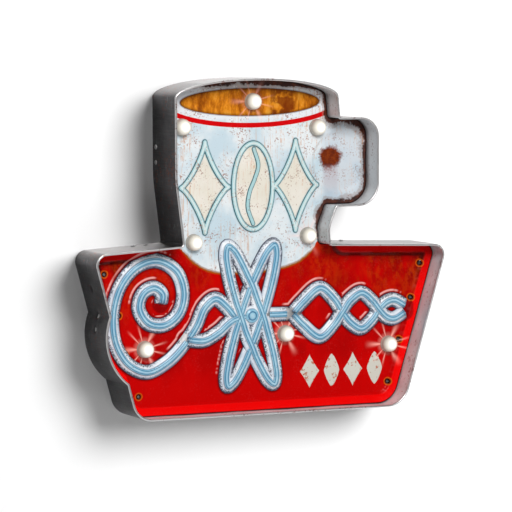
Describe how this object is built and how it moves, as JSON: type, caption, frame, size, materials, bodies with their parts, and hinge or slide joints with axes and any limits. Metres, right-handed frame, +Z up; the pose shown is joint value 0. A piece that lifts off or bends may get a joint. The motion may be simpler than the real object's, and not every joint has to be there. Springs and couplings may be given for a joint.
{
  "type": "illuminated wall sign",
  "caption": "Pressed-tin wall sign shaped as a mug on a leaning panel, with a deep side band, embossed tube artwork, small LED globes and a battery box at the back.",
  "frame": {"origin": "on the wall, on the back face of the hanger strap, midway between its two keyholes", "axes": "+X to the right as seen from the front, +Y into the wall so that the face looks towards -Y, +Z up"},
  "size_m": [0.3992, 0.06, 0.3494],
  "materials": {
    "face_enamel": "glossy printed enamel on tinplate: red panel, pale blue mug, grey tube strokes, rust wear",
    "band_tin": "antiqued tinplate, darker outside, pale grey inside, brushed from front to back",
    "steel": "plain zinc-plated steel",
    "globe": "frosted white lamp globe, lit from inside",
    "socket_plastic": "white moulded lamp holder",
    "lead_jacket": "white twin lead",
    "foam": "white foam mounting tape",
    "box_plastic": "fine-grained black moulding",
    "nickel": "nickel-plated spring steel",
    "cell_jacket": "plain printed shrink jacket",
    "knob_plastic": "white moulded switch knob"
  },
  "bodies": {
    "root": {"face_panel": "face_enamel", "band_mug": "band_tin", "band_handle": "band_tin", "band_base": "band_tin", "splice_plate_left": "steel", "splice_rivet_left_1": "steel", "splice_rivet_left_2": "steel", "splice_plate_handle": "steel", "splice_rivet_handle_1": "steel", "splice_rivet_handle_2": "steel", "splice_plate_right": "steel", "splice_rivet_right_1": "steel", "splice_rivet_right_2": "steel", "hanger_strap": "steel", "strap_rivet_11": "steel", "strap_rivet_12": "steel", "strap_rivet_21": "steel", "strap_rivet_22": "steel", "led_globe_1": "globe", "led_socket_1": "socket_plastic", "led_lead_1": "lead_jacket", "led_globe_2": "globe", "led_socket_2": "socket_plastic", "led_lead_2": "lead_jacket", "led_globe_3": "globe", "led_socket_3": "socket_plastic", "led_lead_3": "lead_jacket", "led_globe_4": "globe", "led_socket_4": "socket_plastic", "led_lead_4": "lead_jacket", "led_globe_5": "globe", "led_socket_5": "socket_plastic", "led_lead_5": "lead_jacket", "led_globe_6": "globe", "led_socket_6": "socket_plastic", "led_lead_6": "lead_jacket", "led_globe_7": "globe", "led_socket_7": "socket_plastic", "led_lead_7": "lead_jacket", "led_globe_8": "globe", "led_socket_8": "socket_plastic", "led_lead_8": "lead_jacket", "foam_pad": "foam", "battery_box": "box_plastic", "plate_terminal": "nickel", "spring_terminal": "nickel", "bridge_contact": "nickel", "battery_1": "cell_jacket", "battery_2": "cell_jacket", "switch_body": "steel"},
    "cover": {"battery_cover": "box_plastic"},
    "knob": {"switch_knob": "knob_plastic"}
  },
  "joints": [
    {"name": "battery_cover_slide", "type": "slide", "parent": "root", "child": "cover", "axis": [1, 0, 0], "range_m": [0, 0.06]},
    {"name": "switch_slide", "type": "slide", "parent": "root", "child": "knob", "axis": [0, 0, 1], "range_m": [0, 0.003]}
  ]
}
